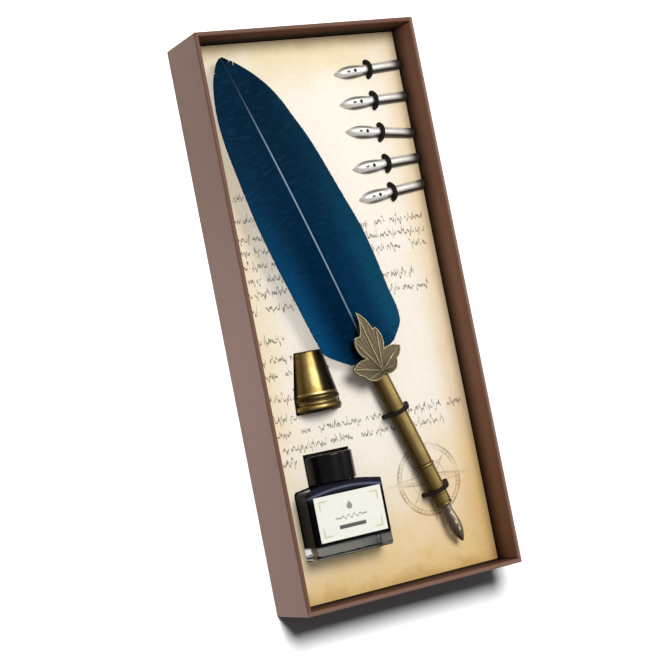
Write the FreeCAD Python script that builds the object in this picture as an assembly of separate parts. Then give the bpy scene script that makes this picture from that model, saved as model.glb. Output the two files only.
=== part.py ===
"""Quill pen gift box: an open card tray with a feather pen, spare nibs, a pen stand and ink.

Lengths are in millimetres and angles in degrees. The tray lies on its base: X runs across it,
Y along it towards the feather's tip, and Z up out of it. The origin is the middle of the
underside. Every piece is written to parts/ as a STEP file of its own.

Pieces with an axis are built in a local frame: X across, Y along the axis, Z up.
"""
import math
import os

import FreeCAD
import Part

# Tray: each board is counted with its wrap paper
TRAY_LENGTH = 290.0
TRAY_WIDTH = 127.0
TRAY_HEIGHT = 34.0
BOARD = 2.4
TRAY_CORNER = 1.0
RIM_ROUND = 0.9

# Card insert and its cut-outs
CARD_LEVEL = 16.0
CARD = 1.3
SHEET = 0.3
INSERT_GAP = 0.5
SKIRT_SLIT = 1.5
CUT_GAP = 0.4
REST_GAP = 0.1

# Feather pen: it lies from the nib's tip, so far from the right and foot walls, to the feather's tip,
# so far from the left and head walls. "Along" counts from the nib's tip
PEN_SIDE = 22.6
PEN_FOOT = 14.4
FEATHER_SIDE = 14.5
FEATHER_HEAD = 8.9
PEN_REST = 0.1
BARREL_RADIUS = 4.6
BARREL_WALL = 1.0
BARREL_START = 45.2
BARREL_END = 104.0
FIT = 0.05
GRIP_START = 27.6
GRIP_RADIUS = 4.5
RING_RADIUS = 5.0
RING_LENGTH = 2.0
SPIGOT_LENGTH = 10.0
FERRULE_START = 20.9
FERRULE_RADIUS = 4.3
FERRULE_GROOVE = 0.5
FERRULE_BEAD = 2.0
SLEEVE_LENGTH = 5.4
SLEEVE_WALL = 0.6
SOCKET_LENGTH = 16.0
EDGE_ROUND = 0.4

# Feather
CALAMUS_RADIUS = 2.0
RACHIS_RADIUS = 1.15
RACHIS_TIP_RADIUS = 0.35
RACHIS_NECK = 16.0
FEATHER_RISE = 4.0
RISE_TURN = 144.0
VANE_GAP = 2.5
VANE_HALF = 27.5
VANE_CLEAR = 1.3
VANE_ROOT = 0.7
VANE_EDGE = 0.4
# Vane outlines as shares of the vane's length and of its half width
VANE_RIGHT_SHARES = [(0.004, 0.545), (0.058, 0.88), (0.163, 0.94), (0.344, 0.985), (0.506, 0.913),
                     (0.661, 0.836), (0.752, 0.745), (0.837, 0.64), (0.903, 0.473), (0.97, 0.204),
                     (1.0, 0.02)]
VANE_LEFT_SHARES = [(0.004, 0.41), (0.076, 0.87), (0.122, 0.93), (0.253, 0.965), (0.4, 0.99), (0.53, 0.97),
                    (0.661, 0.885), (0.74, 0.825), (0.815, 0.73), (0.877, 0.6), (0.94, 0.404),
                    (0.971, 0.243), (1.0, 0.02)]

# Leaf ornament over the barrel's mouth
LEAF_OVERLAP = 8.2
LEAF_LENGTH = 35.5
LEAF_HALF = 15.6
LEAF_METAL = 1.2
LEAF_LIFT = 0.3
LEAF_RIM = 0.5
VEIN_HALF = 0.4
VEIN_HEIGHT = 0.4
VEIN_TAPER_SHARE = 0.4
SADDLE_HALF = 2.4
SADDLE_LENGTH = 5.6
# The leaf's outline as shares of its length and half width: from its foot round the right lobes to the
# tip and back on the left, each row the middle and the end of an arc, or the end of a line
LEAF_FOOT_SHARES = (0.035, 0.0)
LEAF_EDGE_SHARES = [
    ((-0.008, 0.4), (0.12, 0.66)), ((0.18, 0.87), (0.265, 1.0)), ((0.345, 0.69), (0.35, 0.39)),
    ((0.53, 0.535), (0.68, 0.45)), ((0.68, 0.33),), ((0.86, 0.25), (1.0, 0.04)),
    ((0.85, 0.0), (0.67, -0.21)), ((0.685, -0.41),), ((0.53, -0.53), (0.335, -0.34)),
    ((0.355, -0.63), (0.3, -0.97)), ((0.215, -0.9), (0.135, -0.71)), ((0.01, -0.46), (0.035, 0.0))]
LEAF_ROOT_SHARES = (0.08, 0.0)
LEAF_VEIN_SHARES = [(0.95, 0.05), (0.62, 0.44), (0.62, -0.44), (0.27, 0.9), (0.29, -0.88),
                    (0.06, 0.5), (0.07, -0.54)]

# Nibs: sheet metal rolled half round, a straight shank with a hollow point in front of it
NIB_LENGTH = 40.0
NIB_FRONT = 17.0
NIB_SHANK = 2.75
NIB_WIDE = 3.4
NIB_WIDE_AT = 9.5
NIB_TIP = 0.45
NIB_METAL = 0.35
NIB_WRAP = 190.0
NIB_HOLE = 0.95
NIB_HOLE_AT = 11.1
NIB_SLOT_HALF = 0.5
NIB_SLOT_AT = 7.2
NIB_SLOT_LENGTH = 2.0
NIB_SLIT = 0.16
NIB_CORNER = 1.6
# Spare nibs in a row down the right wall: how far the shanks end from it, the first tip from the head
# wall, the pitch of the row, and where each tip lies, in shares of the pitch, with its turn
NIB_SIDE = 0.7
NIB_HEAD = 21.1
NIB_PITCH = 16.0
SPARE_NIB_SHARES = [0.0, 1.01, 1.9, 3.16, 4.17]
SPARE_NIB_TURNS = [3.6, 1.9, -6.4, 3.1, 5.9]

# Elastic cords over the pen and the nibs
CORD = 1.1
CORD_GAP = 0.12
HOLE_GAP = 0.15
KNOT = 2.2
NIB_TIE_AT = 20.1
LOWER_TIE = 2.6
UPPER_TIE = 30.6
PEN_TIE_REACH = 8.9
PEN_TIE_BEND = 1.6

# Pen stand, lying on its side with its narrow end towards the head
STAND_SIDE = 22.0
STAND_TUCK = 11.3
STAND_HEIGHT = 30.4
STAND_FOOT = 12.5
STAND_TOP = 7.6
STAND_NECK = 11.2
STAND_BEAD = 3.8
STAND_GROOVE = 0.9
STAND_RELIEF = 1.2
STAND_BEAD_STEP = 0.4
STAND_BORE = 5.2
STAND_BORE_LENGTH = 8.0
STAND_HOLLOW = 9.4

# Ink bottle, lying on its back with its cap towards the head
BOTTLE_SIDE = 12.0
BOTTLE_FOOT = 22.2
BOTTLE_WIDTH = 43.4
BOTTLE_DEPTH = 27.0
BOTTLE_BODY = 36.0
BOTTLE_CORNER = 2.4
SHOULDER_ROUND = 2.2
SHOULDER_DROP = 1.8
SHOULDER_FRONT = 5.0
GLASS_BASE = 6.4
GLASS_WALL = 2.6
GLASS_SHOULDER = 4.0
INK_GAP = 0.1
NECK_RADIUS = 9.8
NECK_BORE = 7.2
NECK_LENGTH = 11.5
CAP_RADIUS = 12.8
CAP_WALL = 2.4
CAP_LENGTH = 14.0
CAP_TOP = 1.9
CAP_ROUND = 0.9
CAP_SEAT = 0.5
CAP_ROOM = 1.4
LINER = 1.0
LABEL_WIDTH = 38.2
LABEL_HEIGHT = 22.4
LABEL_START = 8.0
LABEL_PAPER = 0.15

# Derived places
QUARTER = 90.0
INNER_HALF_X = TRAY_WIDTH / 2 - BOARD
INNER_HALF_Y = TRAY_LENGTH / 2 - BOARD
CARD_UNDER = CARD_LEVEL - SHEET - CARD

PEN_X = INNER_HALF_X - PEN_SIDE
PEN_Y = PEN_FOOT - INNER_HALF_Y
PEN_AXIS = RING_RADIUS + PEN_REST
PEN_RUN_X = PEN_X + INNER_HALF_X - FEATHER_SIDE
PEN_RUN_Y = INNER_HALF_Y - FEATHER_HEAD - PEN_Y
FEATHER_TIP = math.hypot(PEN_RUN_X, PEN_RUN_Y)
PEN_ANGLE = math.degrees(math.atan2(PEN_RUN_X, PEN_RUN_Y))
BARREL_BORE = BARREL_RADIUS - BARREL_WALL
LEAF_START = BARREL_END - LEAF_OVERLAP
VANE_START = BARREL_END + VANE_GAP
VANE_LENGTH = FEATHER_TIP - VANE_START

NIB_AXIS = NIB_WIDE * math.sin(math.radians(NIB_WRAP / 2 - QUARTER)) + PEN_REST
SEAT_RADIUS = NIB_SHANK + FIT
PEN_TIES = {"pen_tie_lower": GRIP_START + LOWER_TIE, "pen_tie_upper": BARREL_START + UPPER_TIE}

# The stand's narrow end reaches past the barrel's mouth, where the sloping left vane passes over it
STAND_X = STAND_SIDE + STAND_FOOT - INNER_HALF_X
STAND_END = PEN_Y + BARREL_END * PEN_RUN_Y / FEATHER_TIP + STAND_TUCK
STAND_Y = STAND_END - STAND_HEIGHT
STAND_AXIS = BOARD + REST_GAP + STAND_FOOT
STAND_ACROSS = ((PEN_X - STAND_X) * PEN_RUN_Y - (STAND_END - PEN_Y) * PEN_RUN_X) / FEATHER_TIP
VANE_SLOPE = (STAND_AXIS + STAND_TOP + VANE_CLEAR - CARD_LEVEL - PEN_AXIS) / STAND_ACROSS

BOTTLE_X = BOTTLE_SIDE + BOTTLE_WIDTH / 2 - INNER_HALF_X
BOTTLE_Y = BOTTLE_FOOT - INNER_HALF_Y
BOTTLE_AXIS = BOARD + REST_GAP + BOTTLE_DEPTH / 2

ORIGIN = FreeCAD.Vector(0, 0, 0)
ALONG = FreeCAD.Vector(0, 1, 0)
UP = FreeCAD.Vector(0, 0, 1)


def box(x0, x1, y0, y1, z0, z1):
    return Part.makeBox(x1 - x0, y1 - y0, z1 - z0, FreeCAD.Vector(x0, y0, z0))


def prism(points, z0, z1):
    """Upright prism over a plan outline."""
    ring = [FreeCAD.Vector(x, y, z0) for x, y in points]
    return Part.Face(Part.makePolygon(ring + ring[:1])).extrude(UP * (z1 - z0))


def outline(start, *steps):
    """Edges from (x, y) start: a step is a point for a line, or a middle and an end for an arc."""
    edges, here = [], FreeCAD.Vector(start[0], start[1], 0)
    for step in steps:
        if isinstance(step[0], tuple):
            middle, end = (FreeCAD.Vector(p[0], p[1], 0) for p in step)
            edges.append(Part.Arc(here, middle, end).toShape())
        else:
            end = FreeCAD.Vector(step[0], step[1], 0)
            edges.append(Part.makeLine(here, end))
        here = end
    return edges


def curve(points):
    """Smooth edge through (x, y) points."""
    spline = Part.BSplineCurve()
    spline.interpolate(Points=[FreeCAD.Vector(x, y, 0) for x, y in points])
    return spline.toShape()


def turned(edges, angle=4 * QUARTER):
    """Solid of revolution about the local Y axis, from edges in (radius, along)."""
    return Part.Face(Part.Wire(edges)).revolve(ORIGIN, ALONG, angle)


def closed(*points):
    """Straight closed outline through (x, y) points."""
    return outline(points[0], *points[1:], points[0])


def ring(inner, outer, start, end):
    return turned(closed((inner, start), (outer, start), (outer, end), (inner, end)))


def rod(radius, start, end):
    return Part.makeCylinder(radius, end - start, ALONG * start, ALONG)


def rounded_bar(half_x, half_z, radius, start, end):
    """Bar along local Y with a rounded rectangular section."""
    half = radius * (1 - math.sqrt(0.5))
    right, top = half_x - radius, half_z - radius
    edges = outline((right, half_z), ((half_x - half, half_z - half), (half_x, top)), (half_x, -top),
                    ((half_x - half, half - half_z), (right, -half_z)), (-right, -half_z),
                    ((half - half_x, half - half_z), (-half_x, -top)), (-half_x, top),
                    ((half - half_x, half_z - half), (-right, half_z)), (right, half_z))
    bar = Part.Face(Part.Wire(edges)).extrude(UP * (end - start))
    bar.rotate(ORIGIN, FreeCAD.Vector(1, 0, 0), -QUARTER)
    bar.translate(ALONG * start)
    return bar


def end_edges(shape, along):
    """Edges that lie wholly in the plane across the axis at this place."""
    return [e for e in shape.Edges if all(abs(v.Point.y - along) < FIT for v in e.Vertexes)]


def placed(shape, x, y, z, turn=0.0):
    place = FreeCAD.Placement(FreeCAD.Vector(x, y, z), FreeCAD.Rotation(UP, turn))
    return shape.transformed(place.toMatrix(), copy=True)


def on_pen(shape, up=PEN_AXIS):
    return placed(shape, PEN_X, PEN_Y, CARD_LEVEL + up, PEN_ANGLE)


def on_nib(shape, number, up):
    """Lay a shape along the spare nib of this number."""
    turn = SPARE_NIB_TURNS[number]
    x = INNER_HALF_X - NIB_SIDE - NIB_LENGTH * math.cos(math.radians(turn))
    y = INNER_HALF_Y - NIB_HEAD - SPARE_NIB_SHARES[number] * NIB_PITCH
    return placed(shape, x, y, CARD_LEVEL + up, turn - QUARTER)


def on_bottle(shape):
    return placed(shape, BOTTLE_X, BOTTLE_Y, BOTTLE_AXIS)


def on_stand(shape):
    return placed(shape, STAND_X, STAND_Y, STAND_AXIS)


def tray():
    """Base board and four walls mitred at the corners, with the rim rounded over."""
    half_x, half_y = TRAY_WIDTH / 2, TRAY_LENGTH / 2
    footprint = box(-half_x, half_x, -half_y, half_y, 0, TRAY_HEIGHT)
    footprint = footprint.makeFillet(TRAY_CORNER, [e for e in footprint.Edges if abs(e.tangentAt(0).z) > 0.5])

    def wall(half_out, half_run):
        section = box(half_out - BOARD, half_out, -half_run, half_run, 0, TRAY_HEIGHT)
        rims = [e for e in section.Edges if all(v.Point.z > TRAY_HEIGHT - FIT for v in e.Vertexes)
                and abs(e.tangentAt(0).y) > 0.5]
        section = section.makeFillet(RIM_ROUND, rims)
        inner = half_out - BOARD
        mitre = prism([(half_out, half_run), (half_out, -half_run),
                       (inner, BOARD - half_run), (inner, half_run - BOARD)], 0, TRAY_HEIGHT)
        return section.common(mitre)

    def turned_round(shape, angle):
        return placed(shape, 0, 0, 0, angle).common(footprint)

    side, end = wall(half_x, half_y), wall(half_y, half_x)
    return {
        "tray_base": box(-INNER_HALF_X, INNER_HALF_X, -INNER_HALF_Y, INNER_HALF_Y, 0, BOARD),
        "tray_wall_right": turned_round(side, 0),
        "tray_wall_left": turned_round(side, 2 * QUARTER),
        "tray_wall_head": turned_round(end, QUARTER),
        "tray_wall_foot": turned_round(end, -QUARTER),
    }


def tie(radius, axis_up, reach=None):
    """Elastic cord over a round piece, down through the card and knotted under it.

    The near leg goes straight down. With a reach, the far leg slopes out to a hole at that distance.
    Returns the cord and its two leg positions, in a frame whose Z is counted from the card's top.
    """
    loop = radius + CORD + CORD_GAP
    knot_up = -(SHEET + CARD + FIT + KNOT)
    path = [(-loop, knot_up), (-loop, axis_up)]
    if reach is None:
        far = loop
        edges = outline(path[0], path[1], ((0, axis_up + loop), (loop, axis_up)), (loop, knot_up))
    else:
        far = reach
        bend = (reach - PEN_TIE_BEND, CORD / 2)
        across, drop = bend[0], bend[1] - axis_up
        span = math.hypot(across, drop)
        leave = math.atan2(drop, across) + math.acos((loop - PEN_TIE_BEND) / span)

        def on_loop(angle):
            return loop * math.cos(angle), axis_up + loop * math.sin(angle)

        def on_bend(angle):
            return bend[0] + PEN_TIE_BEND * math.cos(angle), bend[1] + PEN_TIE_BEND * math.sin(angle)

        edges = outline(path[0], path[1], (on_loop((math.pi + leave) / 2), on_loop(leave)), on_bend(leave),
                        (on_bend(leave / 2), on_bend(0)), (far, knot_up))
    spine = Part.Wire(edges)
    spine.rotate(ORIGIN, FreeCAD.Vector(1, 0, 0), QUARTER)
    foot = Part.Wire(Part.makeCircle(CORD, FreeCAD.Vector(-loop, 0, knot_up), UP))
    cord = spine.makePipeShell([foot], True, False)
    for leg in (-loop, far):
        cord = cord.fuse(Part.makeSphere(KNOT, FreeCAD.Vector(leg, 0, knot_up)))
    return cord.removeSplitter(), (-loop, far)


def cord_hole(leg):
    return Part.makeCylinder(CORD + HOLE_GAP, CARD_LEVEL, FreeCAD.Vector(leg, 0, -CARD_LEVEL / 2), UP)


def ties():
    """All cords, and the holes that they need in the card."""
    cords, holes = {}, []
    for name, along in PEN_TIES.items():
        cord, legs = tie(BARREL_RADIUS, PEN_AXIS, PEN_TIE_REACH)
        cord.translate(ALONG * along)
        cords[name] = on_pen(cord, 0)
        for leg in legs:
            hole = cord_hole(leg)
            hole.translate(ALONG * along)
            holes.append(on_pen(hole, 0))
    for number in range(len(SPARE_NIB_TURNS)):
        cord, legs = tie(NIB_SHANK, NIB_AXIS)
        cord.translate(ALONG * NIB_TIE_AT)
        cords["nib_tie_%d" % (number + 1)] = on_nib(cord, number, 0)
        for leg in legs:
            hole = cord_hole(leg)
            hole.translate(ALONG * NIB_TIE_AT)
            holes.append(on_nib(hole, number, 0))
    return cords, holes


def insert(holes):
    """Folded card platform with four skirts, and the printed sheet on it."""
    half_x, half_y = INNER_HALF_X - INSERT_GAP, INNER_HALF_Y - INSERT_GAP
    low, top = BOARD + REST_GAP, CARD_LEVEL - SHEET
    card = box(-half_x, half_x, -half_y, half_y, low, top)
    card = card.cut(box(CARD - half_x, half_x - CARD, CARD - half_y, half_y - CARD, low, CARD_UNDER))
    slit = CARD + SKIRT_SLIT
    for x in (-half_x, half_x - slit):
        for y in (-half_y, half_y - slit):
            card = card.cut(box(x, x + slit, y, y + slit, low, CARD_UNDER))
    sheet = box(-half_x, half_x, -half_y, half_y, top, CARD_LEVEL)

    foot, narrow = STAND_FOOT + CUT_GAP, STAND_TOP + CUT_GAP
    neck = STAND_FOOT - STAND_BEAD_STEP + CUT_GAP
    beads = STAND_Y + 2 * STAND_BEAD + STAND_GROOVE + CUT_GAP
    stand_end = STAND_Y + STAND_HEIGHT + CUT_GAP
    stand_low = STAND_Y - CUT_GAP
    stand = [(-foot, stand_low), (foot, stand_low), (foot, STAND_Y + STAND_BEAD), (neck, beads),
             (narrow, stand_end), (-narrow, stand_end), (-neck, beads), (-foot, STAND_Y + STAND_BEAD)]
    wide, cap = BOTTLE_WIDTH / 2 + CUT_GAP, CAP_RADIUS + CUT_GAP
    corner, peak = SHOULDER_ROUND / 2, BOTTLE_Y + BOTTLE_BODY + CUT_GAP
    side, shoulder = peak - SHOULDER_DROP, peak - SHOULDER_DROP * (cap / wide) ** 2
    cap_end = BOTTLE_Y + BOTTLE_BODY + CAP_SEAT + CAP_LENGTH + CAP_ROOM
    bottle = [(wide, BOTTLE_Y - CUT_GAP), (wide, side - corner), (wide - corner, side), (cap, shoulder),
              (cap, cap_end)]
    bottle += [(-x, y) for x, y in reversed(bottle)]
    cuts = [prism([(x + STAND_X, y) for x, y in stand], low, TRAY_HEIGHT),
            prism([(x + BOTTLE_X, y) for x, y in bottle], low, TRAY_HEIGHT)] + holes
    return {"insert_platform": card.cut(cuts), "insert_sheet": sheet.cut(cuts)}


def nib():
    """Half-round hollow point with its slit, slot and hole, on a shank. The tip is at the origin."""
    def swell(radius, along):
        """Middle of the arc from here to the widest place, where it runs along the axis."""
        out, run = NIB_WIDE - radius, along - NIB_WIDE_AT
        bend = (out ** 2 + run ** 2) / (2 * out)
        half = math.asin(run / bend) / 2
        return NIB_WIDE - bend * (1 - math.cos(half)), NIB_WIDE_AT + bend * math.sin(half)

    def within(point):
        return point[0] - NIB_METAL, point[1]

    tip, wide = (NIB_TIP, 0), (NIB_WIDE, NIB_WIDE_AT)
    neck, end = (NIB_SHANK, NIB_FRONT), (NIB_SHANK, NIB_LENGTH)
    front, back = swell(*tip), swell(*neck)
    profile = outline(tip, (front, wide), (back, neck), end, within(end), within(neck),
                      (within(back), within(wide)), (within(front), within(tip)), tip)
    shell = turned(profile, NIB_WRAP)
    shell.rotate(ORIGIN, ALONG, 3 * QUARTER - NIB_WRAP / 2)

    reach = 2 * NIB_WIDE
    slot = box(-NIB_SLOT_HALF, NIB_SLOT_HALF, NIB_SLOT_AT - NIB_SLOT_LENGTH / 2,
               NIB_SLOT_AT + NIB_SLOT_LENGTH / 2, 0, reach)
    slit = box(-NIB_SLIT / 2, NIB_SLIT / 2, -reach, NIB_HOLE_AT, -reach, reach)
    shell = shell.cut([slot, slit, Part.makeCylinder(NIB_HOLE, reach, ALONG * NIB_HOLE_AT, UP)])

    near = NIB_CORNER * (1 - math.sqrt(0.5))
    half, edge = NIB_SHANK + NIB_METAL, NIB_LENGTH - NIB_CORNER
    flat = half - NIB_CORNER
    plan = outline((-reach, -reach), (reach, -reach), (reach, edge), (half, edge),
                   ((half - near, NIB_LENGTH - near), (flat, NIB_LENGTH)), (-flat, NIB_LENGTH),
                   ((near - half, NIB_LENGTH - near), (-half, edge)), (-reach, edge), (-reach, -reach))
    rounded = Part.Face(Part.Wire(plan)).extrude(UP * (2 * reach))
    rounded.translate(UP * -reach)
    return shell.common(rounded).Solids[0]


def bead(inner, radius, start, end):
    """Ring with a half-round outside."""
    middle = (start + end) / 2
    low = radius - (end - start) / 4
    return turned(outline((inner, start), (low, start), ((radius, middle), (low, end)), (inner, end),
                          (inner, start)))


def pen():
    """Barrel, grip, ferrule and feather socket, all turned about the pen's axis."""
    seat_end = NIB_LENGTH + FIT
    spigot = BARREL_BORE - FIT
    ring_start = BARREL_START - RING_LENGTH
    barrel = turned(outline(
        (BARREL_BORE, BARREL_START), (BARREL_RADIUS - EDGE_ROUND, BARREL_START),
        (BARREL_RADIUS, BARREL_START + EDGE_ROUND), (BARREL_RADIUS, BARREL_END - EDGE_ROUND),
        (BARREL_RADIUS - EDGE_ROUND, BARREL_END), (BARREL_BORE, BARREL_END), (BARREL_BORE, BARREL_START)))
    sleeve, sleeve_end = SEAT_RADIUS + SLEEVE_WALL, GRIP_START + SLEEVE_LENGTH
    spigot_end = BARREL_START + SPIGOT_LENGTH
    grip = turned(closed(
        (0, seat_end), (SEAT_RADIUS, seat_end), (SEAT_RADIUS, sleeve_end), (sleeve + FIT, sleeve_end),
        (sleeve + FIT, GRIP_START), (GRIP_RADIUS - EDGE_ROUND, GRIP_START),
        (GRIP_RADIUS, GRIP_START + EDGE_ROUND), (GRIP_RADIUS, ring_start), (spigot, ring_start),
        (spigot, spigot_end), (0, spigot_end)))
    bead_end = FERRULE_START + FERRULE_BEAD
    groove_end = bead_end + FERRULE_GROOVE
    groove = FERRULE_RADIUS - FERRULE_GROOVE
    ferrule = turned(outline(
        (SEAT_RADIUS, FERRULE_START), (FERRULE_RADIUS - FERRULE_BEAD / 2, FERRULE_START),
        ((FERRULE_RADIUS, FERRULE_START + FERRULE_BEAD / 2), (groove, bead_end)), (groove, groove_end),
        (FERRULE_RADIUS, groove_end), (FERRULE_RADIUS, GRIP_START), (sleeve, GRIP_START),
        (sleeve, sleeve_end - FIT), (SEAT_RADIUS, sleeve_end - FIT), (SEAT_RADIUS, FERRULE_START)))
    socket = ring(CALAMUS_RADIUS + FIT, spigot, BARREL_END - SOCKET_LENGTH, BARREL_END)
    return {
        "pen_barrel": on_pen(barrel),
        "grip_ring": on_pen(bead(BARREL_BORE, RING_RADIUS, ring_start, BARREL_START)),
        "grip_section": on_pen(grip),
        "nib_ferrule": on_pen(ferrule),
        "feather_socket": on_pen(socket),
        "pen_nib": on_pen(nib()),
    }


def rise(along):
    """Height of the feather's shaft above the barrel's axis."""
    share = max(0.0, (along - BARREL_END) / (FEATHER_TIP - BARREL_END))
    return FEATHER_RISE * math.sin(math.radians(RISE_TURN * share))


def rachis_radius(along):
    """The shaft narrows quickly behind the leaf, then slowly to the tip."""
    share = max(0.0, (along - BARREL_END) / (FEATHER_TIP - BARREL_END))
    neck = max(0.0, 1 - (along - BARREL_END) / RACHIS_NECK)
    rachis = RACHIS_RADIUS + (RACHIS_TIP_RADIUS - RACHIS_RADIUS) * share
    return rachis + (CALAMUS_RADIUS - RACHIS_RADIUS) * neck


def feather():
    """Tapered shaft that arches up from the barrel, and a thin vane on either side of it."""
    stations = [BARREL_END + (FEATHER_TIP - BARREL_END) * n / 8 for n in range(9)]
    sections = [Part.Wire(Part.makeCircle(rachis_radius(y), FreeCAD.Vector(0, y, rise(y)), ALONG))
                for y in stations]
    shaft = Part.makeLoft(sections, True, False)
    shaft = shaft.fuse(rod(CALAMUS_RADIUS, BARREL_END - SOCKET_LENGTH, BARREL_END)).removeSplitter()

    def vane(shares, side):
        wide = 2 * VANE_HALF
        slices = []
        for y in [VANE_START - VANE_ROOT] + stations[1:-1] + [FEATHER_TIP + VANE_ROOT]:
            z = rise(y)
            corners = [(0, z - VANE_ROOT / 2), (wide, z + VANE_SLOPE * wide - VANE_EDGE / 2),
                       (wide, z + VANE_SLOPE * wide + VANE_EDGE / 2), (0, z + VANE_ROOT / 2)]
            points = [FreeCAD.Vector(side * x, y, up) for x, up in corners]
            slices.append(Part.makePolygon(points + points[:1]))
        sheet = Part.makeLoft(slices, True, False)
        rim = [(side * across * VANE_HALF, VANE_START + share * VANE_LENGTH) for share, across in shares]
        root = side * (rachis_radius(VANE_START) + FIT), VANE_START
        tip = side * (rachis_radius(FEATHER_TIP) + FIT), FEATHER_TIP
        edges = [*outline(root, rim[0]), curve(rim), *outline(rim[-1], tip, root)]
        plan = Part.Face(Part.Wire(edges)).extrude(UP * wide)
        plan.translate(UP * (-wide / 2))
        return sheet.common(plan).Solids[0]

    return {
        "feather_shaft": on_pen(shaft),
        "feather_vane_left": on_pen(vane(VANE_LEFT_SHARES, -1)),
        "feather_vane_right": on_pen(vane(VANE_RIGHT_SHARES, 1)),
    }


def leaf():
    """Cast leaf with a raised rim and veins, on a saddle that sits on the barrel."""
    under = BARREL_RADIUS + LEAF_LIFT
    floor = under + LEAF_METAL

    def spot(share, across):
        return across * LEAF_HALF, LEAF_START + share * LEAF_LENGTH

    steps = [tuple(spot(*point) for point in row) for row in LEAF_EDGE_SHARES]
    edges = outline(spot(*LEAF_FOOT_SHARES), *[step if len(step) > 1 else step[0] for step in steps])
    face = Part.Face(Part.Wire(edges))
    plate = face.extrude(UP * (LEAF_METAL + VEIN_HEIGHT))
    plate.translate(UP * under)
    field = face.makeOffset2D(-LEAF_RIM).extrude(UP * LEAF_METAL)
    field.translate(UP * floor)
    plate = plate.cut(field)
    root_x, root_y = spot(*LEAF_ROOT_SHARES)
    for share, across in LEAF_VEIN_SHARES:
        x, y = spot(share, across)
        length = math.hypot(x - root_x, y - root_y)
        side_x, side_y = VEIN_HALF * (y - root_y) / length, VEIN_HALF * (root_x - x) / length
        end_x, end_y = VEIN_TAPER_SHARE * side_x, VEIN_TAPER_SHARE * side_y
        strip = [(root_x + side_x, root_y + side_y), (x + end_x, y + end_y),
                 (x - end_x, y - end_y), (root_x - side_x, root_y - side_y)]
        plate = plate.fuse(prism(strip, under, floor + VEIN_HEIGHT))
    saddle = box(-SADDLE_HALF, SADDLE_HALF, BARREL_END - SADDLE_LENGTH, BARREL_END, 0, under)
    saddle = saddle.cut(rod(BARREL_RADIUS + FIT / 2, LEAF_START, BARREL_END + SADDLE_LENGTH))
    return on_pen(plate.fuse(max(saddle.Solids, key=lambda s: s.CenterOfMass.z)).removeSplitter())


def stand():
    """Hollow cone with two beads at its foot."""
    upper = STAND_BEAD + STAND_GROOVE
    beads = upper + STAND_BEAD
    upper_radius = STAND_FOOT - STAND_BEAD_STEP
    lower_floor, upper_floor = STAND_FOOT - STAND_RELIEF, upper_radius - STAND_RELIEF
    cone = turned(outline(
        (STAND_HOLLOW, 0), (lower_floor, 0), ((STAND_FOOT, STAND_BEAD / 2), (lower_floor, STAND_BEAD)),
        (upper_floor, STAND_BEAD), (upper_floor, upper),
        ((upper_radius, (upper + beads) / 2), (upper_floor, beads)), (STAND_NECK, beads),
        (STAND_TOP, STAND_HEIGHT - EDGE_ROUND), (STAND_TOP - EDGE_ROUND, STAND_HEIGHT),
        (STAND_BORE, STAND_HEIGHT), (STAND_BORE, STAND_HEIGHT - STAND_BORE_LENGTH),
        (STAND_HOLLOW, STAND_BEAD), (STAND_HOLLOW, 0)))
    return {"pen_stand": on_stand(cone)}


def bottle():
    """Square glass bottle with ink, a front label and a screw cap over a liner."""
    half_x, half_z = BOTTLE_WIDTH / 2, BOTTLE_DEPTH / 2
    neck_top = BOTTLE_BODY + NECK_LENGTH

    def slab(half, deep, corner, drop):
        """Plate with rounded shoulders, which drop from its middle to its sides."""
        near = corner * (1 - math.sqrt(0.5))
        side = BOTTLE_BODY - drop
        top = ((0, BOTTLE_BODY), (corner - half, side)) if drop else (corner - half, side)
        plate = Part.Face(Part.Wire(outline(
            (-half, 0), (half, 0), (half, side - corner), ((half - near, side - near), (half - corner, side)),
            top, ((near - half, side - near), (-half, side - corner)), (-half, 0)))).extrude(UP * (2 * deep))
        plate.translate(UP * -deep)
        return plate

    glass = rounded_bar(half_x, half_z, BOTTLE_CORNER, 0, BOTTLE_BODY)
    glass = glass.makeFillet(SHOULDER_ROUND / 2, end_edges(glass, 0))
    edge = slab(half_z, half_x, SHOULDER_FRONT, 0)
    edge.rotate(ORIGIN, ALONG, QUARTER)
    glass = glass.common(slab(half_x, half_z, SHOULDER_ROUND, SHOULDER_DROP)).common(edge)
    glass = glass.fuse(rod(NECK_RADIUS, BOTTLE_BODY - GLASS_SHOULDER, neck_top)).removeSplitter()

    def inside(gap, start, end):
        inset = GLASS_WALL + gap
        return rounded_bar(half_x - inset, half_z - inset, BOTTLE_CORNER - gap, start, end)

    shoulder = BOTTLE_BODY - GLASS_SHOULDER
    glass = glass.cut(inside(0, GLASS_BASE, shoulder)).cut(rod(NECK_BORE, shoulder - GLASS_WALL, neck_top))
    ink = inside(INK_GAP, GLASS_BASE + INK_GAP, shoulder - INK_GAP)
    label = box(-LABEL_WIDTH / 2, LABEL_WIDTH / 2, LABEL_START, LABEL_START + LABEL_HEIGHT,
                half_z, half_z + LABEL_PAPER)

    start = BOTTLE_BODY + CAP_SEAT
    end = start + CAP_LENGTH
    bore, ceiling = CAP_RADIUS - CAP_WALL, end - CAP_TOP
    near = CAP_ROUND * (1 - math.sqrt(0.5))
    cap = turned(outline(
        (bore, start), (CAP_RADIUS, start), (CAP_RADIUS, end - CAP_ROUND),
        ((CAP_RADIUS - near, end - near), (CAP_RADIUS - CAP_ROUND, end)), (0, end), (0, ceiling),
        (bore, ceiling), (bore, start)))
    liner = rod(bore - INK_GAP, neck_top + FIT, neck_top + FIT + LINER)
    return {
        "bottle_glass": on_bottle(glass),
        "bottle_ink": on_bottle(ink),
        "bottle_label": on_bottle(label),
        "bottle_cap": on_bottle(cap),
        "cap_liner": on_bottle(liner),
    }


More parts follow.
